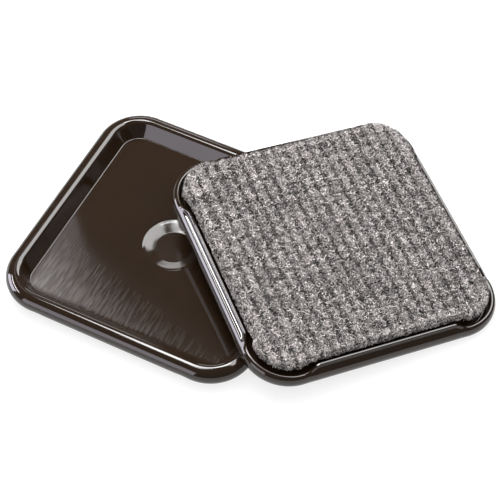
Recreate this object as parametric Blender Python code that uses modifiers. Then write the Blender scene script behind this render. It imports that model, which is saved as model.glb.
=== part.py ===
"""Pair of square caster cups with carpet bases, one upright and one turned over against it.

Metres, +Z up. The origin is the centre of the upright cup's carpet face, which stands on the floor,
and X and Y run along that cup's sides. Every piece is modelled once in the cup's own frame.
"""

import math
from types import SimpleNamespace

import bmesh
import bpy
from mathutils import Matrix, Vector
from mathutils.geometry import intersect_line_line_2d

# Moulded tray
SIDE = 0.0762  # width across the widest part of the rim
CORNER_RADIUS = 0.0130  # plan radius of the rim's outer corners
HEIGHT = 0.0087  # carpet face to the crest of the rim
CREST_RADIUS = 0.0029  # round top of the rim, seen in section
WALL = 0.0016  # thickness of the rim's two walls
RIM_WIDTH = 0.0069  # widest part of the rim to the crease round the floor
FLOOR_THICKNESS = 0.0017
FLOOR_CORNER_RADIUS = 0.0055  # plan radius of the crease at the floor's corners

# Skirt of the rim, which hangs lower along the sides than round the corners
SKIRT_INSET = 0.00178  # how far the draft brings the lip in from the widest part
LIP_HEIGHT = 0.0019  # floor that the cup stands on up to the lip
LIP_ROUND = 0.0003  # bevel of the lip's two edges
CORNER_NOTCH = 0.0018  # how much higher the lip runs round the corners
NOTCH_SETBACK = 0.0025  # start of the corner's curve back to the top of the ramp
NOTCH_RAMP = 0.0026  # length of the ramp between the two lip heights

# Gate dimple in the middle of the floor
DIMPLE_DIAMETER = 0.0180
DIMPLE_FLAT = 0.0107
DIMPLE_DEPTH = 0.0010

# Layers under the floor, from the carpet face up
PILE_HEIGHT = 0.00165
PILE_ROUND = 0.0004  # worn edge of the pile's lower face
CARPET_GAP = 0.00015  # lip's inner edge, before its bevel, to the edge of the carpet
BACKING_THICKNESS = 0.0004
FILM_THICKNESS = 0.0002
FILM_MARGIN = 0.0010  # edge of the flat underside to the edge of the film
SEAT_GAP = 0.00005  # between one bonded layer and the next

# Place of the turned-over cup
LEAN_OUT = 0.0038  # its middle beyond the upright cup's right side
LEAN_ALONG = 0.0159  # its middle along that side
LEAN_TURN = math.radians(48.75)
REST_GAP = 0.00035  # clearance where its rim rests on the other rim and on the floor
SETTLE_ROUNDS = 6

# Fineness of the round stretches
ARC_STEPS = 7
RAMP_STEPS = 4
CREST_STEPS = 3
CHANNEL_STEPS = 2
TURN_STEPS = 48
MERGE_DISTANCE = 0.00001

# Heights and widths that follow from the sizes above
HALF = SIDE / 2
BACKING_TOP = PILE_HEIGHT + SEAT_GAP + BACKING_THICKNESS
FILM_TOP = BACKING_TOP + SEAT_GAP + FILM_THICKNESS
UNDERSIDE = FILM_TOP + SEAT_GAP
FLOOR_TOP = UNDERSIDE + FLOOR_THICKNESS
NOTCHED_LIP = LIP_HEIGHT + CORNER_NOTCH
CREST_CENTRE = Vector((CREST_RADIUS, HEIGHT - CREST_RADIUS))
RAMP_END = HALF - CORNER_RADIUS - NOTCH_SETBACK
RAMP_START = RAMP_END - NOTCH_RAMP


def clear_scene():
    for obj in list(bpy.data.objects):
        bpy.data.objects.remove(obj)


def new_collection(name):
    collection = bpy.data.collections.new(name)
    bpy.context.scene.collection.children.link(collection)
    return collection


def new_material(name, colour, roughness, metallic=0.0):
    material = bpy.data.materials.new(name)
    material.use_nodes = True
    shader = material.node_tree.nodes["Principled BSDF"]
    shader.inputs["Base Color"].default_value = (*colour, 1.0)
    shader.inputs["Roughness"].default_value = roughness
    shader.inputs["Metallic"].default_value = metallic
    return material


def notch_share(along):
    """0 where the lip hangs low along a side, 1 round the corners, eased between."""
    run = min(max((abs(along) - RAMP_START) / NOTCH_RAMP, 0.0), 1.0)
    return run * run * (3.0 - 2.0 * run)


def outline(inset, z, radius):
    """Points of a rounded square, side by side, each with how far its stretch is notched."""
    half = HALF - inset
    steps = [RAMP_START + NOTCH_RAMP * i / RAMP_STEPS for i in range(RAMP_STEPS + 1)]
    points = []
    for quarter in range(4):
        turn = Matrix.Rotation(quarter * math.pi / 2, 3, "Z")
        for along in [-step for step in reversed(steps)] + steps:
            points.append((turn @ Vector((half, along, z)), notch_share(along)))
        for i in range(ARC_STEPS + 1):
            angle = i / ARC_STEPS * math.pi / 2
            x = half - radius + radius * math.cos(angle)
            y = half - radius + radius * math.sin(angle)
            points.append((turn @ Vector((x, y, z)), 1.0))
    return points


def ring(section, notched=None, radius=None):
    """One ring of the tray: a point of its section carried round, raised to another at the corners."""
    plain = outline(section.x, section.y, CORNER_RADIUS - section.x if radius is None else radius)
    if notched is None:
        return [point for point, _ in plain]
    raised = outline(notched.x, notched.y, CORNER_RADIUS - notched.x)
    return [low.lerp(high, share) for (low, share), (high, _) in zip(plain, raised)]


def on_crest(angle, radius):
    """Point of the crest's arc in section; the angle runs from straight out, over the top, to the floor."""
    return CREST_CENTRE + radius * Vector((-math.cos(angle), math.sin(angle)))


def tangent_angle(point, outside):
    """Angle on the crest's arc where a wall that ends at this point of the section runs off it."""
    reach = point - CREST_CENTRE
    facing = math.atan2(reach.y, -reach.x)
    spread = math.acos(CREST_RADIUS / reach.length)
    return facing + spread if outside else facing - spread


def at_height(start, direction, z):
    """Point of a sloping wall at one height."""
    return start + direction * ((z - start.y) / direction.y)


def rim_section():
    """Section of the rim: the two arcs' end angles, and the slopes of the skirt and of the inner wall."""
    lip = Vector((SKIRT_INSET, LIP_HEIGHT))
    crease = Vector((RIM_WIDTH, FLOOR_TOP))
    outer = tangent_angle(lip, True)
    inner = tangent_angle(crease, False) % (2 * math.pi)
    return SimpleNamespace(
        lip=lip,
        crease=crease,
        outer=outer,
        inner=inner,
        skirt=on_crest(outer, CREST_RADIUS) - lip,
        slope=on_crest(inner, CREST_RADIUS) - crease,
        slope_under=on_crest(inner, CREST_RADIUS - WALL),
    )


def height_angle(z, radius):
    """Angle on the crest's arc at one height of its outer half, or at the foot of that half."""
    return math.asin(max(-1.0, (z - CREST_CENTRE.y) / radius))


def outer_wall(rim, z, radius):
    """Point of the rim's outer wall at one height: on the skirt or, above that, on the crest's arc."""
    tangent = on_crest(rim.outer, radius)
    if z <= tangent.y:
        return at_height(tangent, rim.skirt, z)
    return on_crest(height_angle(z, radius), radius)


def sweep(angles, steps):
    """Angles that pass through each of these, with so many even steps in each span."""
    spans = zip(angles, angles[1:])
    passed = [start + (end - start) * i / steps for start, end in spans for i in range(steps)]
    return passed + [angles[-1]]


def tray_rings(rim):
    """Rings of the tray from the edge of its flat underside, round the rim, to the crease of its floor."""
    channel = CREST_RADIUS - WALL

    def lip_ring(radius, rise, shift):
        low = outer_wall(rim, LIP_HEIGHT + rise, radius) + Vector((shift, 0))
        high = outer_wall(rim, NOTCHED_LIP + rise, radius) + Vector((shift, 0))
        return ring(low, high)

    def arc_rings(radius, angles, steps):
        """Rings round an arc, which starts above the lip also where that is notched."""
        notched = max(rim.outer, height_angle(NOTCHED_LIP + 2 * LIP_ROUND, radius))
        raised = [notched if angle == rim.outer else angle for angle in angles]
        pairs = zip(sweep(angles, steps), sweep(raised, steps))
        return [ring(on_crest(low, radius), on_crest(high, radius)) for low, high in pairs]

    return [
        ring(at_height(rim.slope_under, rim.slope, UNDERSIDE)),
        *arc_rings(channel, (rim.inner, math.pi / 2, rim.outer), CHANNEL_STEPS),
        lip_ring(channel, LIP_ROUND, 0),
        lip_ring(channel, 0, -LIP_ROUND),
        lip_ring(CREST_RADIUS, 0, LIP_ROUND),
        lip_ring(CREST_RADIUS, LIP_ROUND, 0),
        *arc_rings(CREST_RADIUS, (rim.outer, 0, math.pi / 2, rim.inner), CREST_STEPS),
        ring(rim.crease, radius=FLOOR_CORNER_RADIUS),
    ]


def loft(name, rings):
    """Closed mesh through rings of like points, with the first and the last ring filled."""
    mesh = bmesh.new()
    loops = [[mesh.verts.new(point) for point in points] for points in rings]
    mesh.faces.new(reversed(loops[0]))
    mesh.faces.new(loops[-1])
    for lower, upper in zip(loops, loops[1:]):
        count = len(lower)
        for i in range(count):
            j = (i + 1) % count
            mesh.faces.new((lower[i], lower[j], upper[j], upper[i]))
    bmesh.ops.recalc_face_normals(mesh, faces=mesh.faces)
    data = bpy.data.meshes.new(name)
    mesh.to_mesh(data)
    mesh.free()
    data.shade_smooth()
    data.set_sharp_from_angle(angle=math.radians(40))
    return data


def slab_curve(name, inset, thickness):
    """Flat rounded square, filled, centred on its own mid-height."""
    curve = bpy.data.curves.new(name, "CURVE")
    curve.dimensions = "2D"
    curve.fill_mode = "BOTH"
    curve.extrude = thickness / 2
    points = ring(Vector((inset, 0)))
    spline = curve.splines.new("POLY")
    spline.points.add(len(points) - 1)
    spline.use_cyclic_u = True
    for slot, point in zip(spline.points, points):
        slot.co = (point.x, point.y, 0, 1)
    return curve


def dimple_profile(name):
    """Half section of the cutter that sinks the gate dimple, standing clear above the floor."""
    clear = FLOOR_THICKNESS
    wall = (DIMPLE_DIAMETER - DIMPLE_FLAT) / 2 / DIMPLE_DEPTH
    corners = [
        (0, FLOOR_TOP + clear),
        (DIMPLE_DIAMETER / 2 + wall * clear, FLOOR_TOP + clear),
        (DIMPLE_FLAT / 2, FLOOR_TOP - DIMPLE_DEPTH),
        (0, FLOOR_TOP - DIMPLE_DEPTH),
    ]
    data = bpy.data.meshes.new(name)
    edges = [(i, i + 1) for i in range(len(corners) - 1)]
    data.from_pydata([(x, 0, z) for x, z in corners], edges, [])
    return data


def crossings(first, second):
    """Where two closed outlines cross, seen from above."""
    found = []
    for a, b in zip(first, first[1:] + first[:1]):
        for c, d in zip(second, second[1:] + second[:1]):
            hit = intersect_line_line_2d(a.xy, b.xy, c.xy, d.xy)
            if hit is not None:
                found.append(hit)
    return found


def leaning_place():
    """Matrix of the turned-over cup, whose crest lies on the other cup's crest and on the floor."""
    crest = ring(on_crest(math.pi / 2, CREST_RADIUS))
    middle = Vector((HALF + LEAN_OUT, LEAN_ALONG))
    turned_over = Matrix.Rotation(LEAN_TURN, 4, "Z") @ Matrix.Rotation(math.pi, 4, "X")
    drop = Matrix.Translation((0, 0, -HEIGHT))
    place = Matrix.Translation((*middle, HEIGHT)) @ turned_over @ drop
    for _ in range(SETTLE_ROUNDS):
        rim = [place @ point for point in crest]
        foot = max(rim, key=lambda point: point.xy.dot(middle))
        rests = [Vector((*hit, HEIGHT + REST_GAP)) for hit in crossings(crest, rim)[:2]]
        rests.append(Vector((*foot.xy, REST_GAP)))
        normal = (rests[1] - rests[0]).cross(rests[2] - rests[0])
        normal *= math.copysign(1.0, normal.z)
        level = rests[2].z - normal.xy.dot(middle - rests[2].xy) / normal.z
        tilt = Vector((0, 0, 1)).rotation_difference(normal).to_matrix().to_4x4()
        place = Matrix.Translation((*middle, level)) @ tilt @ turned_over @ drop
    return place


def add_piece(name, data, material, frame, collection, z=0.0):
    piece = bpy.data.objects.new(name, data)
    collection.objects.link(piece)
    piece.parent = frame
    piece.location.z = z
    if material is not None and not data.materials:
        data.materials.append(material)
    return piece


def add_dimple(tray, profile, frame, cutters):
    cutter = add_piece(tray.name + "_dimple_cutter", profile, None, frame, cutters)
    cutter.hide_render = True
    cutter.display_type = "WIRE"
    turn = cutter.modifiers.new("turn", "SCREW")
    turn.steps = TURN_STEPS
    turn.render_steps = TURN_STEPS
    turn.use_merge_vertices = True
    turn.merge_threshold = MERGE_DISTANCE
    cut = tray.modifiers.new("dimple", "BOOLEAN")
    cut.object = cutter
    cut.solver = "EXACT"


def round_pile_edge(pile):
    weld = pile.modifiers.new("weld", "WELD")
    weld.merge_threshold = MERGE_DISTANCE
    edge = pile.modifiers.new("edge", "BEVEL")
    edge.width = PILE_ROUND
    edge.segments = 2
    edge.limit_method = "ANGLE"
    edge.angle_limit = math.radians(60)


def main():
    clear_scene()
    parts = new_collection("caster_cup_pair")
    cutters = new_collection("cutters")

    brown = new_material("gloss_brown_plastic", (0.030, 0.020, 0.012), 0.18)
    glue = new_material("glue_film", (0.55, 0.50, 0.36), 0.45)
    latex = new_material("latex_backing", (0.055, 0.051, 0.046), 0.8)
    felt = new_material("grey_carpet", (0.27, 0.26, 0.25), 0.95)

    rim = rim_section()
    flat_inset = at_height(rim.slope_under, rim.slope, UNDERSIDE).x
    carpet_inset = outer_wall(rim, LIP_HEIGHT, CREST_RADIUS - WALL).x + CARPET_GAP
    tray_mesh = loft("tray", tray_rings(rim))
    profile = dimple_profile("dimple")
    film_curve = slab_curve("glue_film", flat_inset + FILM_MARGIN, FILM_THICKNESS)
    backing_curve = slab_curve("carpet_backing", carpet_inset, BACKING_THICKNESS)
    pile_curve = slab_curve("carpet_pile", carpet_inset, PILE_HEIGHT)

    for cup, place in (("upright", Matrix.Identity(4)), ("leaning", leaning_place())):
        frame = bpy.data.objects.new(cup + "_cup", None)
        frame.matrix_world = place
        parts.objects.link(frame)
        tray = add_piece(cup + "_tray", tray_mesh, brown, frame, parts)
        add_dimple(tray, profile, frame, cutters)
        film_middle = FILM_TOP - FILM_THICKNESS / 2
        add_piece(cup + "_glue_film", film_curve, glue, frame, parts, film_middle)
        backing_middle = BACKING_TOP - BACKING_THICKNESS / 2
        add_piece(cup + "_carpet_backing", backing_curve, latex, frame, parts, backing_middle)
        pile = add_piece(cup + "_carpet_pile", pile_curve, felt, frame, parts, PILE_HEIGHT / 2)
        round_pile_edge(pile)


main()
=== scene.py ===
"""Dressed pair of square caster cups: glossy brown trays, one of them turned over to show its carpet.

Metres, +Z up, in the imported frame. Each cup's pieces are made in the cup's own frame, where the carpet
face lies at z = 0 and the rim's crest is on top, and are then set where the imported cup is.
"""

import math
from collections import namedtuple

import bpy
import numpy as np
from mathutils import Matrix, Vector


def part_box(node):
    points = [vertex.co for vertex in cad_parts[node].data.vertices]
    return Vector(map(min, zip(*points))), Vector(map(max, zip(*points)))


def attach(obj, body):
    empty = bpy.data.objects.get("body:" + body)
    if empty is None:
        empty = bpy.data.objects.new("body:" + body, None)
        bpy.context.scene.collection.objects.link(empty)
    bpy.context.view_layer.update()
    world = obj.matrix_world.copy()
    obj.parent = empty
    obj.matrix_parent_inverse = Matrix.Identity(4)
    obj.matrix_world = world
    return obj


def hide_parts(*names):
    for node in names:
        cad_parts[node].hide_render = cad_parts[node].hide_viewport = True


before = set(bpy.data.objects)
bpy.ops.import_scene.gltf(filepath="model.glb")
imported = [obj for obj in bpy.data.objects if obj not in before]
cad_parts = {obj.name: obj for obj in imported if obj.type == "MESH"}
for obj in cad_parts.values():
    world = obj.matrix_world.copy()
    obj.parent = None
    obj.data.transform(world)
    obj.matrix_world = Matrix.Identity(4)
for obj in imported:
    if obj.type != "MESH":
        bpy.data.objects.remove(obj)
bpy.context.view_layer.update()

# Tray section, as in the part
CORNER_RADIUS = 0.0130
CREST_RADIUS = 0.0029
WALL = 0.0016
RIM_WIDTH = 0.0069
FLOOR_THICKNESS = 0.0017
FLOOR_CORNER_RADIUS = 0.0055
SKIRT_INSET = 0.00178
LIP_HEIGHT = 0.0019
CORNER_NOTCH = 0.0018
DIMPLE_RADIUS = 0.0090
DIMPLE_FLAT_RADIUS = 0.00535
DIMPLE_DEPTH = 0.0010
LEAN_HEADING = math.radians(48.75)
SIDE_FACE_TILT = 0.1  # most that the normal of a slab's side face leans up or down

# The crest rolls over faster on its inner side than in the solids, and a collar stands under its bead
INNER_CREST_RADIUS = 0.0020
BEAD_END = math.radians(70)
COLLAR_FILLET = 0.00025
COLLAR_LEAST = 0.00025

# The lip is thin and round, and at the corners it dips in longer ramps than in the solids
LIP_WIDTH = 0.0013
LIP_ROUND = 0.00064
NOTCH_SETBACK = 0.0001
NOTCH_RAMP = 0.0050
CORNER_LIP_INSET = 0.00125

# Small rounds that the solids leave sharp, and the flat strip that keeps the shading beside them flat
CREASE_ROUND = 0.0004
DIMPLE_RIM_ROUND = 0.0008
DIMPLE_FLOOR_ROUND = 0.0005
FLAT_MARGIN = 0.0002

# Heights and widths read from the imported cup
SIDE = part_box("upright_tray")[1].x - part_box("upright_tray")[0].x
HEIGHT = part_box("upright_tray")[1].z
CARPET_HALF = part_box("upright_carpet_pile")[1].x
PILE_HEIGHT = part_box("upright_carpet_pile")[1].z
FILM_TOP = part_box("upright_glue_film")[1].z
BACKING_MIDDLE = sum(corner.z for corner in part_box("upright_carpet_backing")) / 2
SEAT_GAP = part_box("upright_carpet_backing")[0].z - PILE_HEIGHT
UNDERSIDE = FILM_TOP + SEAT_GAP
FLOOR_TOP = UNDERSIDE + FLOOR_THICKNESS
CARPET_CORNER = CORNER_RADIUS - (SIDE / 2 - CARPET_HALF)
RAMP_END = SIDE / 2 - CORNER_RADIUS - NOTCH_SETBACK
FLOOR_HALF = SIDE / 2 - RIM_WIDTH
BEAD_CENTRE = complex(CREST_RADIUS, HEIGHT - CREST_RADIUS)
INNER_CENTRE = complex(CREST_RADIUS, HEIGHT - INNER_CREST_RADIUS)

# Fineness of the tray's mesh
ARC_STEPS = 24
RAMP_STEPS = 10
SIDE_STEPS = 20
CREST_STEPS = 12
ROUND_STEPS = 4
FLOOR_RINGS = 6
SHARP_ANGLE = math.radians(50)

# Streaked patch of the tray's floor: streaks that grow along one way across it, with a painted sheen on
# them, and a painted sheen in one corner
STREAKS_AND_SHEEN_WAY = (0.30, 0.95)
STREAKS_AND_SHEEN_START = -0.012
STREAKS_AND_SHEEN_FULL = -0.042
FLOOR_MASK_EDGE = 0.0020
FLOOR_MASK_DEPTH = 0.0006
STREAK_STRETCH = (1.0, 0.13, 0.0)
STREAK_RANGE = (0.40, 0.66)
CORNER_SHEEN_START = -0.036
CORNER_SHEEN_FULL = -0.062

# Uneven surface of the dimple: how far round its middle, and at which depth below the floor, it sets in
UNEVEN_RADIUS = 2 * DIMPLE_RADIUS
UNEVEN_DEPTH = 0.0003

# Plastic: its browns, the grey of a painted sheen, and what each pattern adds to colour, roughness and
# relief
DARK_BROWN = (0.0127, 0.0070, 0.0037)
LIGHT_BROWN = (0.0173, 0.0098, 0.0053)
# This grey is a painted sheen, the lamps' image in the floor, along the streaks and in one corner
PAINTED_SHEEN_GREY = (0.105, 0.094, 0.091)
PATCH_SHEEN_SHARE = 0.06
STREAK_SHEEN_SHARE = 0.50
CORNER_SHEEN_SHARE = 0.42
PLASTIC_IOR = 1.5
PLASTIC_ROUGHNESS = 0.035
MOTTLE_ROUGHNESS = 0.03
STREAKED_ROUGHNESS = 0.14
UNEVEN_ROUGHNESS = 0.08
STREAK_RELIEF = 1.8
WAVE_RELIEF = 0.5
RIPPLE_RELIEF = 1.4
PLASTIC_RELIEF = 0.00006

# Yarn, base cloth, latex and glue: dark and light colours, roughness, shine, and relief in metres
YARN_DARK = (0.022, 0.020, 0.019)
TUFT_LIGHT = (0.54, 0.50, 0.49)
FIBRE_LIGHT = (0.70, 0.65, 0.64)
YARN_GRAIN = 1.75
YARN_ROUGHNESS = 0.9
YARN_SHINE = 0.15
# The base cloth's dark colours are painted shade between the tufts
CLOTH_DARK = (0.03, 0.029, 0.028)
CLOTH_LIGHT = (0.12, 0.117, 0.114)
CLOTH_ROUGHNESS = 0.95
CLOTH_SHINE = 0.1
LATEX_DARK = (0.035, 0.032, 0.029)
LATEX_LIGHT = (0.075, 0.070, 0.064)
LATEX_ROUGHNESS = 0.8
LATEX_RELIEF = 0.00008
GLUE_DARK = (0.42, 0.37, 0.24)
GLUE_LIGHT = (0.62, 0.57, 0.42)
GLUE_ROUGHNESS = 0.4
GLUE_RELIEF = 0.0001

# Cloth under the tufts
BASE_INSET = 0.0006
BASE_RISE = 0.0006
BASE_ROUND = 0.0003
BASE_CHAMFER = 0.0001

# Tufts: half widths and half height, tone from dark to light, its spread, and how many fibres stand out
TuftKind = namedtuple("TuftKind", "size tone spread fibres")
RIB_TUFT = TuftKind((0.0021, 0.0026, 0.0009), 0.50, 0.04, 102)
# The edge tufts' higher tone is a painted highlight on the carpet's border; the fringe and corner tufts'
# higher tones offset the painted shade towards the root
EDGE_TUFT = TuftKind((0.00135, 0.00135, 0.00085), 0.60, 0.06, 46)
FRINGE_TUFT = TuftKind((0.00055, 0.00055, 0.0006), 0.60, 0.05, 26)
CORNER_TUFT = TuftKind((0.0011, 0.0011, 0.0010), 0.80, 0.05, 26)

# Columns of a row of numbers that describes one tuft
MIDDLE = slice(0, 3)
MIDDLE_Y = 1
MIDDLE_Z = 2
HALVES = slice(3, 6)
HALF_HEIGHT = 5
OWN_TONE = 6
FIBRE_COUNT = 7

# Ribs of tufts, a row of smaller tufts round the cut edge, and a fringe that hangs over it
RIB_PITCH = 0.00356
TUFT_PITCH = 0.0032
TUFT_HEIGHT = 0.0010
RIB_JITTER = 0.00022
TUFT_JITTER = 0.00030
TUFT_EDGE = 0.0018
EDGE_TUFT_PITCH = 0.0025
EDGE_TUFT_INSET = 0.00105
EDGE_JITTER = 0.0002
FRINGE_PITCH = 0.0014
FRINGE_HEIGHT = 0.00175
CORNER_FRINGE_HEIGHTS = (0.0015, 0.0026)
FRINGE_JITTER = 0.0001
SIZE_SPREAD = (0.82, 1.12)

# How far yarn may stand past the carpet's outline, at the carpet face and beside the backing
TOP_REACH = -0.0004
FRINGE_REACH = 0.0005
CORNER_TOP_REACH = 0.0003
CORNER_FRINGE_REACH = 0.0010

# Yarn's gaps to the backing's edge and to its root, and where it ends over each cup's carpet face
BACKING_GAP = 0.00012
ROOT_GAP = 0.0001
UPRIGHT_LOWEST = 0.0002
LEANING_LOWEST = -0.0002
SKIN = 0.02  # share of its way past a limit that yarn keeps

# Lumps of a tuft and the slivers of yarn on it
TUFT_SIDES = 14
TUFT_RINGS = 7
TUFT_SPAN = math.radians(118)
LUMP_SWELL = 0.06
LUMP_WAVES = 2.2
LUMP_GRAIN = 0.04
FIBRE_POINTS = 4
FIBRE_SPAN = math.radians(95)
FIBRE_ROOT = 0.92
FIBRE_TANGLE = 0.8
FIBRE_WIDTH = 0.00042
FIBRE_LENGTH = (0.0007, 0.0016)

# Tones: painted shade, how much darker yarn is in the valleys between ribs, between tufts and towards its
# root
RIB_SHADE = 0.42
TUFT_SHADE = 0.16
TUFT_ROOT_SHADE = 0.35
TUFT_DARKER = 0.20
TUFT_TONE_GRAIN = 0.05
FIBRE_DEPTH_SHADE = 0.30
FIBRE_ROOT_SHADE = 0.22
FIBRE_LIGHTER = 0.08
DARK_FIBRES = 0.30
DARK_FIBRE_TONE = -0.25
LIGHT_FIBRE_TONE = 0.10
FIBRE_TONE_GRAIN = 0.13
SEED = 7

# Flat maps of yarn have a cell for each tuft or fibre: a tuft's radius and a fibre's margin, as
# shares of the cell
TUFT_MAP_RADIUS = 0.46
FIBRE_MAP_MARGIN = 0.1

# Names of the values that the meshes carry for their finishes and for baking
CUP_PLACE = "cup_place"
TONE = "tone"
BAKE_MAP = "OFBake"

# Camera, found from the photograph's edges, and the frame it fills
VIEW_AZIMUTH = math.radians(26.488)
VIEW_ELEVATION = math.radians(53.924)
VIEW_DISTANCE = 0.438555
VIEW_TARGET = Vector((0.018968, 0.010861, 0))
FOCAL_PIXELS = 1520.25
FRAME_PIXELS = 500
SENSOR_MILLIMETRES = 36
CLIP_START = 0.01

# Studio: half size, grey, glow and roughness of the pale floor, and what the lights face and how far off
STAGE_HALF = 3.0
STAGE_GREY = 0.35
STAGE_GLOW = 0.75
STAGE_ROUGHNESS = 0.9
WORLD_BRIGHTNESS = 0.14
LIGHT_TARGET = Vector((0.02, 0.01, 0.005))
SOFTBOX_DISTANCE = 0.6
POWER_SHARE = 4  # power of a flat light for each unit of its area and brightness
WHITE = (1, 1, 1)
COOL_WHITE = (0.98, 0.95, 1.0)
PALE_LILAC = (0.95, 0.90, 1.0)
LILAC = (0.90, 0.87, 1.0)

# Places of a Mix node's sockets when it mixes colours
MIX_FACTOR = 0
MIX_FIRST = 6
MIX_SECOND = 7
MIX_RESULT = 2


class Wire:
    """An output of a finish's nodes; sums and products of wires and numbers add Math nodes."""

    def __init__(self, finish, socket):
        self.finish = finish
        self.socket = socket

    def __add__(self, other):
        return self.finish.math("ADD", self, other)

    def __sub__(self, other):
        return self.finish.math("SUBTRACT", self, other)

    def __rsub__(self, other):
        return self.finish.math("SUBTRACT", other, self)

    def __mul__(self, other):
        return self.finish.math("MULTIPLY", self, other)

    __radd__ = __add__
    __rmul__ = __mul__


class Finish:
    """A material with a Principled shader, built up node by node."""

    def __init__(self, name):
        self.material = bpy.data.materials.new(name)
        self.material.use_nodes = True
        self.tree = self.material.node_tree
        self.shader = self.tree.nodes["Principled BSDF"]

    def set(self, name, value):
        self.feed(self.shader.inputs[name], value)

    def feed(self, socket, value):
        if isinstance(value, Wire):
            self.tree.links.new(value.socket, socket)
        else:
            socket.default_value = value

    def node(self, kind, settings, sockets, out=0):
        made = self.tree.nodes.new("ShaderNode" + kind)
        for name, value in settings.items():
            setattr(made, name, value)
        for name, value in sockets.items():
            self.feed(made.inputs[name], value)
        return Wire(self, made.outputs[out])

    def math(self, operation, *values):
        return self.node("Math", {"operation": operation}, dict(enumerate(values)))

    def place(self):
        return self.node("TexCoord", {}, {}, "Object")

    def carried(self, name, out):
        """A value that the mesh carries at its points."""
        return self.node("Attribute", {"attribute_name": name}, {}, out)

    def stretched(self, place, factors):
        """Coordinates times a factor along each axis."""
        return self.node("VectorMath", {"operation": "MULTIPLY"}, {0: place, 1: factors})

    def axes(self, place):
        return [self.node("SeparateXYZ", {}, {0: place}, axis) for axis in "XYZ"]

    def noise(self, place, scale, detail=2.0, roughness=0.5):
        sockets = {"Vector": place, "Scale": scale, "Detail": detail, "Roughness": roughness}
        return self.node("TexNoise", {}, sockets, "Fac")

    def smooth(self, value, low, high):
        """0 below one value and 1 above another, eased between."""
        sockets = {"Value": value, "From Min": low, "From Max": high}
        return self.node("MapRange", {"interpolation_type": "SMOOTHSTEP"}, sockets)

    def blend(self, factor, first, second):
        """One colour turning into another, each of them a wire or three numbers."""
        first, second = [end if isinstance(end, Wire) else (*end, 1.0) for end in (first, second)]
        sockets = {MIX_FACTOR: factor, MIX_FIRST: first, MIX_SECOND: second}
        return self.node("Mix", {"data_type": "RGBA"}, sockets, MIX_RESULT)

    def bump(self, height, distance):
        self.set("Normal", self.node("Bump", {}, {"Height": height, "Distance": distance}))


def gloss_brown():
    """Dark brown moulded plastic with fine streaks over one part of the tray's floor, and a painted sheen
    there and in one corner.
    """
    finish = Finish("gloss_brown_plastic")
    finish.set("IOR", PLASTIC_IOR)
    mottle = finish.noise(finish.place(), scale=110.0, detail=3.0)
    waves = finish.noise(finish.place(), scale=45.0, detail=1.0)

    place = finish.carried(CUP_PLACE, "Vector")
    x, y, z = finish.axes(place)
    reach = finish.math("MAXIMUM", finish.math("ABSOLUTE", x), finish.math("ABSOLUTE", y))
    on_floor = finish.smooth(reach, FLOOR_HALF, FLOOR_HALF - FLOOR_MASK_EDGE)
    on_floor = on_floor * finish.smooth(z, FLOOR_TOP - FLOOR_MASK_DEPTH, FLOOR_TOP)
    streaks_and_sheen = on_floor * finish.smooth(x * STREAKS_AND_SHEEN_WAY[0] + y * STREAKS_AND_SHEEN_WAY[1], STREAKS_AND_SHEEN_START, STREAKS_AND_SHEEN_FULL)
    streaks = finish.noise(finish.stretched(place, STREAK_STRETCH), scale=1300.0, detail=1.0)
    comb = finish.smooth(streaks, *STREAK_RANGE)
    corner_sheen_mask = on_floor * finish.smooth(x + y, CORNER_SHEEN_START, CORNER_SHEEN_FULL)
    in_dimple = finish.smooth(reach, UNEVEN_RADIUS, DIMPLE_RADIUS)
    in_dimple = in_dimple * finish.smooth(z, FLOOR_TOP, FLOOR_TOP - UNEVEN_DEPTH)
    ripples = finish.noise(finish.place(), scale=260.0, detail=1.0)

    brown = finish.blend(mottle, DARK_BROWN, LIGHT_BROWN)
    # Painted sheen: grey mixed into the floor's colour along the streaks and in one corner stands for the
    # lamps' image in the floor
    painted_sheen_amount = streaks_and_sheen * (PATCH_SHEEN_SHARE + STREAK_SHEEN_SHARE * comb) + CORNER_SHEEN_SHARE * corner_sheen_mask
    finish.set("Base Color", finish.blend(painted_sheen_amount, brown, PAINTED_SHEEN_GREY))
    roughness = PLASTIC_ROUGHNESS + MOTTLE_ROUGHNESS * mottle
    finish.set("Roughness", roughness + STREAKED_ROUGHNESS * streaks_and_sheen + UNEVEN_ROUGHNESS * in_dimple)
    relief = STREAK_RELIEF * streaks * streaks_and_sheen + WAVE_RELIEF * waves
    finish.bump(relief + RIPPLE_RELIEF * ripples * in_dimple, PLASTIC_RELIEF)
    return finish.material


def grey_yarn(name, light):
    """Fuzzy grey yarn: each tuft and fibre has its own tone, with painted shade in the valleys and towards
    its root.
    """
    finish = Finish(name)
    tone = finish.carried(TONE, "Fac")
    grain = finish.noise(finish.place(), scale=2800.0, roughness=0.7)
    finish.set("Base Color", finish.blend(tone + (grain - 0.5) * YARN_GRAIN, YARN_DARK, light))
    finish.set("Roughness", YARN_ROUGHNESS)
    finish.set("Specular IOR Level", YARN_SHINE)
    return finish.material


def pile_cloth():
    """Cloth that the tufts stand on, painted dark as the shade between them."""
    finish = Finish("pile_base_cloth")
    grain = finish.noise(finish.place(), scale=1500.0, detail=3.0, roughness=0.6)
    finish.set("Base Color", finish.blend(grain, CLOTH_DARK, CLOTH_LIGHT))
    finish.set("Roughness", CLOTH_ROUGHNESS)
    finish.set("Specular IOR Level", CLOTH_SHINE)
    return finish.material


def latex():
    """Dark rubbery coat with the weave of its cloth showing through."""
    finish = Finish("latex_backing")
    weave = finish.noise(finish.place(), scale=900.0)
    finish.set("Base Color", finish.blend(weave, LATEX_DARK, LATEX_LIGHT))
    finish.set("Roughness", LATEX_ROUGHNESS)
    finish.bump(weave, LATEX_RELIEF)
    return finish.material


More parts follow.
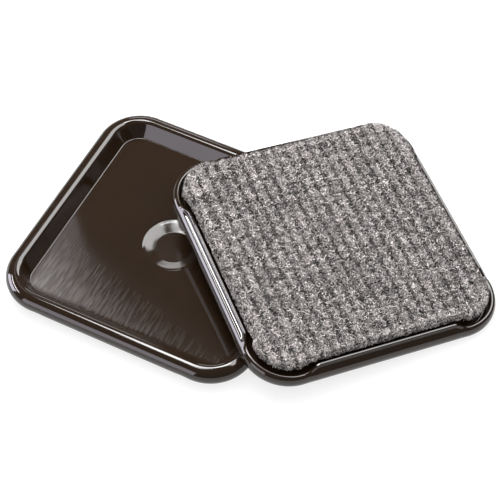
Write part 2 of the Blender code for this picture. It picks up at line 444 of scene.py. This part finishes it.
def dried_glue():
    """Cloudy yellowish film."""
    finish = Finish("dried_glue")
    swirl = finish.noise(finish.place(), scale=160.0, detail=3.0)
    finish.set("Base Color", finish.blend(swirl, GLUE_DARK, GLUE_LIGHT))
    finish.set("Roughness", GLUE_ROUGHNESS)
    finish.bump(swirl, GLUE_RELIEF)
    return finish.material


def leaning_place():
    """Matrix of the turned-over cup's own frame, read from the flat backing of its carpet."""
    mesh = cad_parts["leaning_carpet_backing"].data
    faces = sorted(mesh.polygons, key=lambda face: face.area, reverse=True)
    up = faces[0].normal * math.copysign(1.0, -faces[0].normal.z)
    walls = [face for face in faces if abs(face.normal.dot(up)) < SIDE_FACE_TILT]
    heading = Vector((math.cos(LEAN_HEADING), math.sin(LEAN_HEADING), 0))
    across = max((wall.normal for wall in walls if wall.area > walls[0].area / 2), key=heading.dot)
    across = (across - up * across.dot(up)).normalized()
    along = up.cross(across)
    turn = Matrix((across, along, up)).transposed()
    reach = [turn.transposed() @ vertex.co for vertex in mesh.vertices]
    middle = Vector([(min(axis) + max(axis)) / 2 for axis in zip(*reach)])
    middle.z -= BACKING_MIDDLE
    return Matrix.Translation(turn @ middle) @ turn.to_4x4()


def on_arc(centre, radius, angle):
    """Point of an arc in section as inset + 1j * height; the angle runs from outside over the top."""
    return centre + radius * complex(-math.cos(angle), math.sin(angle))


def arc(centre, radius, start, end):
    return [on_arc(centre, radius, angle) for angle in np.linspace(start, end, CREST_STEPS + 1)]


def tangent_angle(centre, radius, point, side):
    """Angle on an arc where a wall that ends at this point runs off it."""
    reach = point - centre
    return math.atan2(reach.imag, -reach.real) + side * math.acos(radius / abs(reach))


def at_height(start, direction, z):
    return start + direction * ((z - start.imag) / direction.imag)


def rounded(corner, arriving, leaving, radius):
    """Points of a round that carries a section from one straight stretch to the next."""
    arriving /= abs(arriving)
    leaving /= abs(leaving)
    turn = math.atan2((leaving / arriving).imag, (leaving / arriving).real)
    start = corner - arriving * radius * math.tan(abs(turn) / 2)
    centre = start + arriving * 1j * math.copysign(radius, turn)
    spins = np.linspace(0, turn, ROUND_STEPS + 1)
    return [centre + (start - centre) * complex(math.cos(spin), math.sin(spin)) for spin in spins]


def plan_points():
    """Places along a side, how far each is notched there, and the angles round a corner."""
    ramp = np.linspace(0, 1, RAMP_STEPS + 1)
    ease = ramp * ramp * (3 - 2 * ramp)
    along = RAMP_END - NOTCH_RAMP * (1 - ramp)
    straight = np.linspace(-along[0], along[0], SIDE_STEPS + 1)[1:-1]
    side_along = np.concatenate([-along[::-1], straight, along])
    side_share = np.concatenate([ease[::-1], np.zeros(len(straight)), ease])
    angles = np.linspace(0, math.pi / 2, ARC_STEPS + 1)
    return side_along, side_share, angles


def ring(inset, radius, z):
    """Points of a rounded square at one height."""
    side_along, _, angles = plan_points()
    half = SIDE / 2 - inset
    x = np.concatenate([np.full(len(side_along), half), half - radius + radius * np.cos(angles)])
    y = np.concatenate([side_along, half - radius + radius * np.sin(angles)])
    quarters = [(x, y), (-y, x), (-x, -y), (y, -x)]
    flat = np.concatenate([np.stack(quarter, axis=1) for quarter in quarters])
    return np.column_stack([flat, np.full(len(flat), z)])


def notch_shares():
    """How far each point of a ring is notched: 0 along the sides and 1 round the corners."""
    _, side_share, angles = plan_points()
    return np.tile(np.concatenate([side_share, np.ones(len(angles))]), 4)[:, None]


def section_ring(low, high):
    """A point of the tray's section carried round, and raised to another at the corners."""
    share = notch_shares()
    plain = ring(low.real, CORNER_RADIUS - low.real, low.imag)
    raised = ring(high.real, CORNER_RADIUS - high.real, high.imag)
    return plain * (1 - share) + raised * share


def inner_wall():
    """Where the crest runs off into the inner wall, and the wall's direction up from the floor."""
    crease = complex(RIM_WIDTH, FLOOR_TOP)
    end = tangent_angle(INNER_CENTRE, INNER_CREST_RADIUS, crease, -1) % (2 * math.pi)
    return end, on_arc(INNER_CENTRE, INNER_CREST_RADIUS, end) - crease


def rim_section(rise):
    """The rim in section, from the flat underside round the lip and the crest to the floor."""
    inner, slope = inner_wall()
    side_foot = on_arc(BEAD_CENTRE, CREST_RADIUS, -BEAD_END)
    taper = (SKIRT_INSET - side_foot.real) / (side_foot.imag - LIP_HEIGHT)

    lip_z = LIP_HEIGHT + rise
    foot_z = max(side_foot.imag, lip_z + COLLAR_LEAST)
    bead_end = math.asin((foot_z - BEAD_CENTRE.imag) / CREST_RADIUS)
    foot = on_arc(BEAD_CENTRE, CREST_RADIUS, bead_end)
    lip_inset = foot.real + taper * (foot_z - lip_z)
    lip = complex(max(lip_inset, CORNER_LIP_INSET), lip_z)
    lip_inside = lip + LIP_WIDTH
    hollow = CREST_RADIUS - WALL
    channel_end = tangent_angle(BEAD_CENTRE, hollow, lip_inside, 1)
    channel_wall = on_arc(BEAD_CENTRE, hollow, channel_end) - lip_inside

    inner_hollow = arc(INNER_CENTRE, INNER_CREST_RADIUS - WALL, inner, math.pi / 2)
    points = [at_height(inner_hollow[0], slope, UNDERSIDE), *inner_hollow]
    points += arc(BEAD_CENTRE, hollow, math.pi / 2, channel_end)[1:]
    points += rounded(lip_inside, -channel_wall, -1 + 0j, LIP_ROUND)
    points += rounded(lip, -1 + 0j, foot - lip, LIP_ROUND)
    along_bead = complex(math.sin(bead_end), math.cos(bead_end))
    points += rounded(foot, foot - lip, along_bead, COLLAR_FILLET)[:-1]
    points += arc(BEAD_CENTRE, CREST_RADIUS, bead_end, math.pi / 2)[1:]
    points += arc(INNER_CENTRE, INNER_CREST_RADIUS, math.pi / 2, inner)[1:]
    return points


def dimple_stations():
    """Radius and height of each ring from the floor's edge into the dimple, and how round it is."""
    rim = complex(DIMPLE_RADIUS, FLOOR_TOP)
    foot = complex(DIMPLE_FLAT_RADIUS, FLOOR_TOP - DIMPLE_DEPTH)
    wall = foot - rim
    section = rounded(rim, -1 + 0j, wall, DIMPLE_RIM_ROUND)
    section += rounded(foot, wall, -1 + 0j, DIMPLE_FLOOR_ROUND)
    start = section[0].real + FLAT_MARGIN
    stations = [(start, FLOOR_TOP, i / FLOOR_RINGS) for i in range(1, FLOOR_RINGS + 1)]
    stations += [(point.real, point.imag, 1.0) for point in section]
    middle = section[-1] - FLAT_MARGIN
    return stations + [(middle.real, middle.imag, 1.0), (middle.real / 2, middle.imag, 1.0)]


def tray_rings():
    """Rings from the flat underside's edge, round the rim and over the floor to the dimple's middle."""
    rings = [section_ring(low, high) for low, high in zip(rim_section(0), rim_section(CORNER_NOTCH))]
    crease = complex(RIM_WIDTH, FLOOR_TOP)
    floor_edge = rounded(crease, -inner_wall()[1], 1 + 0j, CREASE_ROUND)
    for point in [*floor_edge, floor_edge[-1] + FLAT_MARGIN]:
        rings.append(ring(point.real, FLOOR_CORNER_RADIUS - (point.real - RIM_WIDTH), point.imag))

    edge = rings[-1]
    spokes = edge[:, :2] / np.linalg.norm(edge[:, :2], axis=1)[:, None]
    for radius, z, share in dimple_stations():
        circle = np.column_stack([spokes * radius, np.full(len(edge), z)])
        rings.append(edge * (1 - share) + circle * share)
    return rings


def new_mesh(name, points, faces):
    mesh = bpy.data.meshes.new(name)
    mesh.from_pydata(np.asarray(points).tolist(), [], faces)
    mesh.validate()
    return mesh


def loft(name, rings):
    """Closed mesh through rings of like points, with the first and last rings filled."""
    count = len(rings[0])
    faces = [list(reversed(range(count)))]
    for level in range(len(rings) - 1):
        base = level * count
        for i in range(count):
            j = (i + 1) % count
            faces.append([base + i, base + j, base + count + j, base + count + i])
    last = (len(rings) - 1) * count
    faces.append(list(range(last, last + count)))
    mesh = new_mesh(name, np.concatenate(rings), faces)
    mesh.shade_smooth()
    mesh.set_sharp_from_angle(angle=SHARP_ANGLE)
    return mesh


def moulded_tray(name):
    """The tray, which carries its places in the cup's own frame for its finish to read."""
    mesh = loft(name, tray_rings())
    points = np.array([vertex.co for vertex in mesh.vertices], np.float32)
    carried = mesh.attributes.new(CUP_PLACE, "FLOAT_VECTOR", "POINT")
    carried.data.foreach_set("vector", points.ravel())
    return mesh


def straight_reach(away):
    """How far along its rib the middle of a tuft may lie, at a distance from the carpet's middle."""
    half = CARPET_HALF - TUFT_EDGE
    radius = CARPET_CORNER - TUFT_EDGE
    over = max(0.0, abs(away) - (half - radius))
    return half - radius + math.sqrt(max(0.0, radius**2 - over**2))


def edge_places(inset, pitch):
    """Points at even steps round the carpet's edge."""
    outline = ring(SIDE / 2 - CARPET_HALF + inset, CARPET_CORNER - inset, 0)[:, :2]
    outline = np.vstack([outline, outline[:1]])
    run = np.concatenate([[0], np.cumsum(np.linalg.norm(np.diff(outline, axis=0), axis=1))])
    steps = np.linspace(0, run[-1], round(run[-1] / pitch), endpoint=False)
    return np.column_stack([np.interp(steps, run, outline[:, axis]) for axis in (0, 1)])


def at_corner(points):
    """True for points at the lowered corners of the lip."""
    return np.abs(points[:, :2]).min(1) > RAMP_END


def tuft_places(random):
    """A row for each tuft: its middle, half widths, half height, tone and number of fibres."""
    ribs = int((CARPET_HALF - TUFT_EDGE) / RIB_PITCH)
    tufts = []

    def add(x, y, z, kind):
        tone = random.normal(kind.tone, kind.spread)
        halves = np.array(kind.size) * random.uniform(*SIZE_SPREAD, 3)
        tufts.append((x, y, z, *halves, tone, kind.fibres))

    for rib in range(-ribs, ribs + 1):
        reach = straight_reach(rib * RIB_PITCH)
        count = round(2 * reach / TUFT_PITCH) + 1 - rib % 2
        for row in range(count):
            x = rib * RIB_PITCH + random.normal(0, RIB_JITTER)
            y = reach * (2 * row / (count - 1) - 1) + random.normal(0, TUFT_JITTER)
            add(x, y, TUFT_HEIGHT, RIB_TUFT)
    for place in edge_places(EDGE_TUFT_INSET, EDGE_TUFT_PITCH):
        add(*random.normal(place, EDGE_JITTER), TUFT_HEIGHT, EDGE_TUFT)
    for place in edge_places(0.0, FRINGE_PITCH):
        if at_corner(place[None])[0]:
            for z in CORNER_FRINGE_HEIGHTS:
                add(*place, z + random.normal(0, FRINGE_JITTER), CORNER_TUFT)
        else:
            add(*place, FRINGE_HEIGHT + random.normal(0, FRINGE_JITTER), FRINGE_TUFT)
    return np.array(tufts)


def unit_rows(rows):
    return rows / np.linalg.norm(rows, axis=1)[:, None]


def outward(polar, spin):
    """Directions at angles from straight out of the carpet and round that way."""
    return np.column_stack([np.sin(polar) * np.cos(spin), np.sin(polar) * np.sin(spin), -np.cos(polar)])


def past_edge(points):
    """How far points lie outside the carpet's outline, and the way out."""
    over = np.abs(points[:, :2]) - (CARPET_HALF - CARPET_CORNER)
    beside = np.where(over == over.max(1)[:, None], 1.0, 0.0)
    out = unit_rows(np.where((over > 0).all(1)[:, None], over, beside))
    distance = (over * out).sum(1) - CARPET_CORNER
    return distance, out * np.sign(points[:, :2])


def held_between(values, least, most):
    """Values held between two limits; what lies past them is squeezed into a thin skin, so none meet."""
    held = np.clip(values, least, most)
    return held + SKIN * (values - held)


def clear_of_tray(points, hanging):
    """Points moved so that hanging yarn stays outside the backing and all yarn stops short of the lip."""
    distance, out = past_edge(points)
    corner = at_corner(points)
    top = np.where(corner, CORNER_TOP_REACH, TOP_REACH)
    low = np.where(corner, CORNER_FRINGE_REACH, FRINGE_REACH)
    most = top + (low - top) * np.clip(points[:, 2] / PILE_HEIGHT, 0, 1)
    least = np.where(hanging, BACKING_GAP, -np.inf)
    moved = points.copy()
    moved[:, :2] += out * (held_between(distance, least, np.maximum(most, least)) - distance)[:, None]
    return moved


def hangs(tufts):
    """True for tufts whose middle lies beside the backing, below the carpet's edge."""
    return tufts[:, MIDDLE_Z] > PILE_HEIGHT


def deepest(tufts):
    """How deep yarn of each tuft may reach: to its root on the cloth, or to the end of a hanging tuft."""
    end = tufts[:, MIDDLE_Z] + tufts[:, HALF_HEIGHT]
    return np.where(hangs(tufts), end, PILE_HEIGHT) - ROOT_GAP


def valley_shade(points, middle):
    """Painted shade: darkening of yarn in the valleys between ribs and, less, between the tufts of a rib.
    """
    across = points[:, 0] / RIB_PITCH
    across = np.abs(2 * (across - np.round(across)))
    along = np.minimum(np.abs(points[:, 1] - middle) / TUFT_PITCH * 2, 1)
    return RIB_SHADE * across**3 + TUFT_SHADE * along**3


def depth_share(points):
    """0 at the carpet face, rising to 1 at the pile's root."""
    return np.minimum(points[:, 2] / PILE_HEIGHT, 1)


def add_tone(mesh, tone):
    carried = mesh.attributes.new(TONE, "FLOAT", "POINT")
    carried.data.foreach_set("value", np.clip(tone, 0, 1).astype(np.float32))


def add_bake_map(mesh, uv):
    layer = mesh.uv_layers.new(name=BAKE_MAP)
    layer.data.foreach_set("uv", np.clip(uv, 0, 1).astype(np.float32).ravel())


def carpet_base(name):
    """The cloth that the tufts stand on: a thin pad with a rounded edge."""
    edge = SIDE / 2 - CARPET_HALF + BASE_INSET
    steps = [
        (BASE_ROUND, BASE_RISE),
        (0.0, BASE_RISE - BASE_ROUND),
        (0.0, BASE_CHAMFER),
        (BASE_CHAMFER, 0.0),
    ]
    rings = [ring(edge + inset, CORNER_RADIUS - edge - inset, PILE_HEIGHT - rise) for inset, rise in steps]
    return loft(name, rings)


def tuft_shape():
    """Points of a ball cut off at its root, their places in a flat map of it, and its faces."""
    polar = np.linspace(0, TUFT_SPAN, TUFT_RINGS + 1)[1:]
    spin = np.arange(TUFT_SIDES) * 2 * math.pi / TUFT_SIDES
    polar, spin = [grid.ravel() for grid in np.meshgrid(polar, spin, indexing="ij")]
    unit = np.vstack([[0, 0, -1], outward(polar, spin)])
    spread = np.column_stack([polar * np.cos(spin), polar * np.sin(spin)]) / TUFT_SPAN
    spread = np.vstack([[0, 0], spread])

    faces = [[(i + 1) % TUFT_SIDES + 1, i + 1, 0] for i in range(TUFT_SIDES)]
    for level in range(TUFT_RINGS - 1):
        first = 1 + level * TUFT_SIDES
        for i in range(TUFT_SIDES):
            j = (i + 1) % TUFT_SIDES
            faces.append([first + j, first + TUFT_SIDES + j, first + TUFT_SIDES + i, first + i])
    last = 1 + (TUFT_RINGS - 1) * TUFT_SIDES
    faces.append([last + i for i in range(TUFT_SIDES)])
    return unit, spread, faces


def carpet_tufts(name, tufts, random, lowest):
    """Closed lumpy balls of yarn, sunk in the base and standing out of it."""
    unit, spread, faces = tuft_shape()
    cells = math.ceil(math.sqrt(len(tufts)))
    points, tones, every_face, uv = [], [], [], []
    for number, (tuft, root, hanging) in enumerate(zip(tufts, deepest(tufts), hangs(tufts))):
        waves = random.normal(0, LUMP_WAVES, (3, 3))
        phases = random.uniform(0, math.tau, 3)
        swell = np.sin(unit @ waves + phases).sum(1)
        lumps = 1 + LUMP_SWELL * swell + random.normal(0, LUMP_GRAIN, len(unit))
        ball = unit * lumps[:, None] * tuft[HALVES] + tuft[MIDDLE]
        ball[:, 2] = held_between(ball[:, 2], lowest, root)
        ball = clear_of_tray(ball, hanging)
        points.append(ball)
        every_face += [[i + number * len(unit) for i in face] for face in faces]
        # Painted shade towards the root and in the valleys, on top of the tufts being darker than their
        # fibres
        shade = TUFT_DARKER + TUFT_ROOT_SHADE * depth_share(ball) + valley_shade(ball, tuft[MIDDLE_Y])
        tones.append(tuft[OWN_TONE] - shade + random.normal(0, TUFT_TONE_GRAIN, len(unit)))
        middle = np.array([number % cells + 0.5, number // cells + 0.5]) / cells
        flat = middle + spread * TUFT_MAP_RADIUS / cells
        uv += [flat[face] for face in faces[:-1]]
        uv.append(np.repeat(middle[None], TUFT_SIDES, axis=0))
    mesh = new_mesh(name, np.concatenate(points), every_face)
    mesh.shade_smooth()
    add_tone(mesh, np.concatenate(tones))
    add_bake_map(mesh, np.concatenate(uv))
    return mesh


def carpet_fibres(name, tufts, random, lowest):
    """Closed four-sided slivers of yarn that stand out of the tufts."""
    tuft = tufts[np.repeat(np.arange(len(tufts)), tufts[:, FIBRE_COUNT].astype(int))]
    count = len(tuft)
    polar = np.arccos(random.uniform(math.cos(FIBRE_SPAN), 1, count))
    unit = outward(polar, random.uniform(0, math.tau, count))
    halves = tuft[:, HALVES]
    base = tuft[:, MIDDLE] + unit * halves * FIBRE_ROOT
    direction = unit_rows(unit_rows(unit / halves) + random.normal(0, FIBRE_TANGLE, (count, 3)))
    tip = base + direction * random.uniform(*FIBRE_LENGTH, count)[:, None]
    side = unit_rows(np.cross(direction, random.normal(0, 1, (count, 3)))) * FIBRE_WIDTH / 2
    other = np.cross(direction, side)
    root = deepest(tuft)
    base[:, 2] = held_between(base[:, 2], lowest, root)
    tip[:, 2] = held_between(tip[:, 2], lowest, root)
    points = np.stack([base - side, base + side, tip - other, tip + other], axis=1)
    points[:, :, 2] = held_between(points[:, :, 2], lowest, root[:, None])
    points = clear_of_tray(points.reshape(-1, 3), np.repeat(hangs(tuft), FIBRE_POINTS))

    first = np.arange(count) * FIBRE_POINTS
    sides = [(0, 1, 2), (0, 3, 1), (0, 2, 3), (1, 3, 2)]
    faces = np.stack([np.column_stack([first + i for i in face]) for face in sides], axis=1)
    mesh = new_mesh(name, points, faces.reshape(-1, 3).tolist())

    dark = random.uniform(0, 1, count) < DARK_FIBRES
    own = np.where(dark, DARK_FIBRE_TONE, LIGHT_FIBRE_TONE) + random.normal(0, FIBRE_TONE_GRAIN, count)
    # Painted shade: fibres darker deeper in the pile, in the valleys and at their roots
    shade = FIBRE_DEPTH_SHADE * depth_share(tip) + valley_shade((base + tip) / 2, tuft[:, MIDDLE_Y])
    end = tuft[:, OWN_TONE] + FIBRE_LIGHTER + own - shade
    add_tone(mesh, np.column_stack([end - FIBRE_ROOT_SHADE] * 2 + [end] * 2).ravel())
    cells = math.ceil(math.sqrt(count))
    cell = np.column_stack([np.arange(count) % cells, np.arange(count) // cells])[:, None, :]
    near, far = FIBRE_MAP_MARGIN, 1 - FIBRE_MAP_MARGIN
    corners = np.array([(near, near), (far, near), (near, far), (far, far)])
    add_bake_map(mesh, ((cell + corners[np.ravel(sides)]) / cells).reshape(-1, 2))
    return mesh


def add_piece(name, mesh, material, place, body):
    """A piece in its cup's place, riding on the cup's body."""
    mesh.transform(place)
    mesh.materials.append(material)
    piece = bpy.data.objects.new(name, mesh)
    bpy.context.scene.collection.objects.link(piece)
    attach(piece, body)
    return piece


def add_cup(cup, place, lowest, finishes, random):
    """The dressed tray and carpet of one cup, whose yarn ends at a height over its carpet face."""

    def add(name, mesh, finish, slot):
        return add_piece(f"{cup}_{name}", mesh, finishes[finish], place, cup + "_cup")

    tray = add("moulded_tray", moulded_tray(cup + "_tray_mesh"), "brown", "brown_plastic")
    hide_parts(cup + "_tray")

    tufts = tuft_places(random)
    base = add("pile_base", carpet_base(cup + "_base_mesh"), "cloth", "grey_carpet")
    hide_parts(cup + "_carpet_pile")
    balls = carpet_tufts(cup + "_tuft_mesh", tufts, random, lowest)
    balls = add("carpet_tufts", balls, "tufts", "grey_carpet")
    fibres = carpet_fibres(cup + "_fibre_mesh", tufts, random, lowest)
    fibres = add("carpet_fibres", fibres, "fibres", "grey_carpet")

    for node, finish in (("_carpet_backing", "latex"), ("_glue_film", "glue")):
        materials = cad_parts[cup + node].data.materials
        materials.clear()
        materials.append(finishes[finish])


def add_camera():
    data = bpy.data.cameras.new("camera")
    data.sensor_width = SENSOR_MILLIMETRES
    data.lens = SENSOR_MILLIMETRES * FOCAL_PIXELS / FRAME_PIXELS
    data.clip_start = CLIP_START
    camera = bpy.data.objects.new("camera", data)
    bpy.context.scene.collection.objects.link(camera)
    flat = math.cos(VIEW_ELEVATION)
    x, y = flat * math.sin(VIEW_AZIMUTH), -flat * math.cos(VIEW_AZIMUTH)
    back = Vector((x, y, math.sin(VIEW_ELEVATION)))
    camera.location = VIEW_TARGET + back * VIEW_DISTANCE
    camera.rotation_euler = back.to_track_quat("Z", "Y").to_euler()
    bpy.context.scene.camera = camera


def add_floor():
    """A pale floor that glows a little, so that shadows on it stay faint."""
    half = STAGE_HALF
    points = [(-half, -half, 0), (half, -half, 0), (half, half, 0), (-half, half, 0)]
    floor = bpy.data.objects.new("floor", new_mesh("floor", points, [[0, 1, 2, 3]]))
    bpy.context.scene.collection.objects.link(floor)
    finish = Finish("pale_floor")
    finish.set("Base Color", (STAGE_GREY, STAGE_GREY, STAGE_GREY, 1.0))
    finish.set("Roughness", STAGE_ROUGHNESS)
    finish.set("Specular IOR Level", 0.0)
    finish.set("Emission Color", (*WHITE, 1.0))
    finish.set("Emission Strength", STAGE_GLOW)
    floor.data.materials.append(finish.material)


def add_light(name, heading, height, distance, size, brightness, tint, seen_by):
    """Flat light seen from the cups in one direction, in degrees round from +X and up from the floor."""
    data = bpy.data.lights.new(name, "AREA")
    data.shape = "RECTANGLE"
    data.size, data.size_y = size
    data.energy = POWER_SHARE * size[0] * size[1] * brightness
    data.color = tint
    light = bpy.data.objects.new(name, data)
    bpy.context.scene.collection.objects.link(light)
    heading, height = math.radians(heading), math.radians(height)
    flat = math.cos(height)
    towards = Vector((flat * math.cos(heading), flat * math.sin(heading), math.sin(height)))
    light.location = LIGHT_TARGET + towards * distance
    light.rotation_euler = towards.to_track_quat("Z", "Y").to_euler()
    light.visible_camera = False
    light.visible_diffuse = seen_by == "matt"
    light.visible_glossy = seen_by == "gloss"


def add_softbox(name, heading, height, size, brightness, tint=WHITE):
    """A light whose image shows in the glossy rims and walls."""
    add_light(name, heading, height, SOFTBOX_DISTANCE, size, brightness, tint, "gloss")


def add_lights():
    """Light for the carpet and floor, then the softboxes that the glossy plastic mirrors."""
    add_light("overhead", heading=-63, height=80, distance=0.9, size=(1.1, 1.1),
              brightness=2.3, tint=WHITE, seen_by="matt")
    add_light("left_key", heading=140, height=52, distance=0.40, size=(0.17, 0.17),
              brightness=19.5, tint=WHITE, seen_by="matt")
    add_softbox("right_back", heading=66, height=52, size=(0.44, 0.60), brightness=7.5)
    add_softbox("back", heading=120, height=25, size=(0.17, 0.10), brightness=4.0)
    add_softbox("left_front", heading=-112, height=17, size=(0.34, 0.36), brightness=2.8, tint=PALE_LILAC)
    add_softbox("left", heading=-164, height=14, size=(0.30, 0.27), brightness=9.0, tint=LILAC)
    add_softbox("left_high", heading=-167, height=38, size=(0.30, 0.03), brightness=34.0)
    add_softbox("left_back", heading=142, height=53.5, size=(0.10, 0.09), brightness=1.2, tint=COOL_WHITE)
    add_softbox("overhead_back", heading=142, height=71, size=(0.24, 0.11), brightness=15.0)
    add_softbox("overhead_left", heading=168, height=77, size=(0.17, 0.13), brightness=7.0)


def add_world():
    world = bpy.data.worlds.new("studio")
    bpy.context.scene.world = world
    world.use_nodes = True
    background = world.node_tree.nodes["Background"]
    background.inputs["Color"].default_value = (*WHITE, 1.0)
    background.inputs["Strength"].default_value = WORLD_BRIGHTNESS


bpy.context.scene.view_settings.view_transform = "Standard"
add_camera()
add_floor()
add_world()
add_lights()
finishes = {
    "brown": gloss_brown(),
    "cloth": pile_cloth(),
    "tufts": grey_yarn("grey_tuft_yarn", TUFT_LIGHT),
    "fibres": grey_yarn("grey_yarn_fibres", FIBRE_LIGHT),
    "latex": latex(),
    "glue": dried_glue(),
}
random = np.random.default_rng(SEED)
add_cup("upright", Matrix.Identity(4), UPRIGHT_LOWEST, finishes, random)
add_cup("leaning", leaning_place(), LEANING_LOWEST, finishes, random)
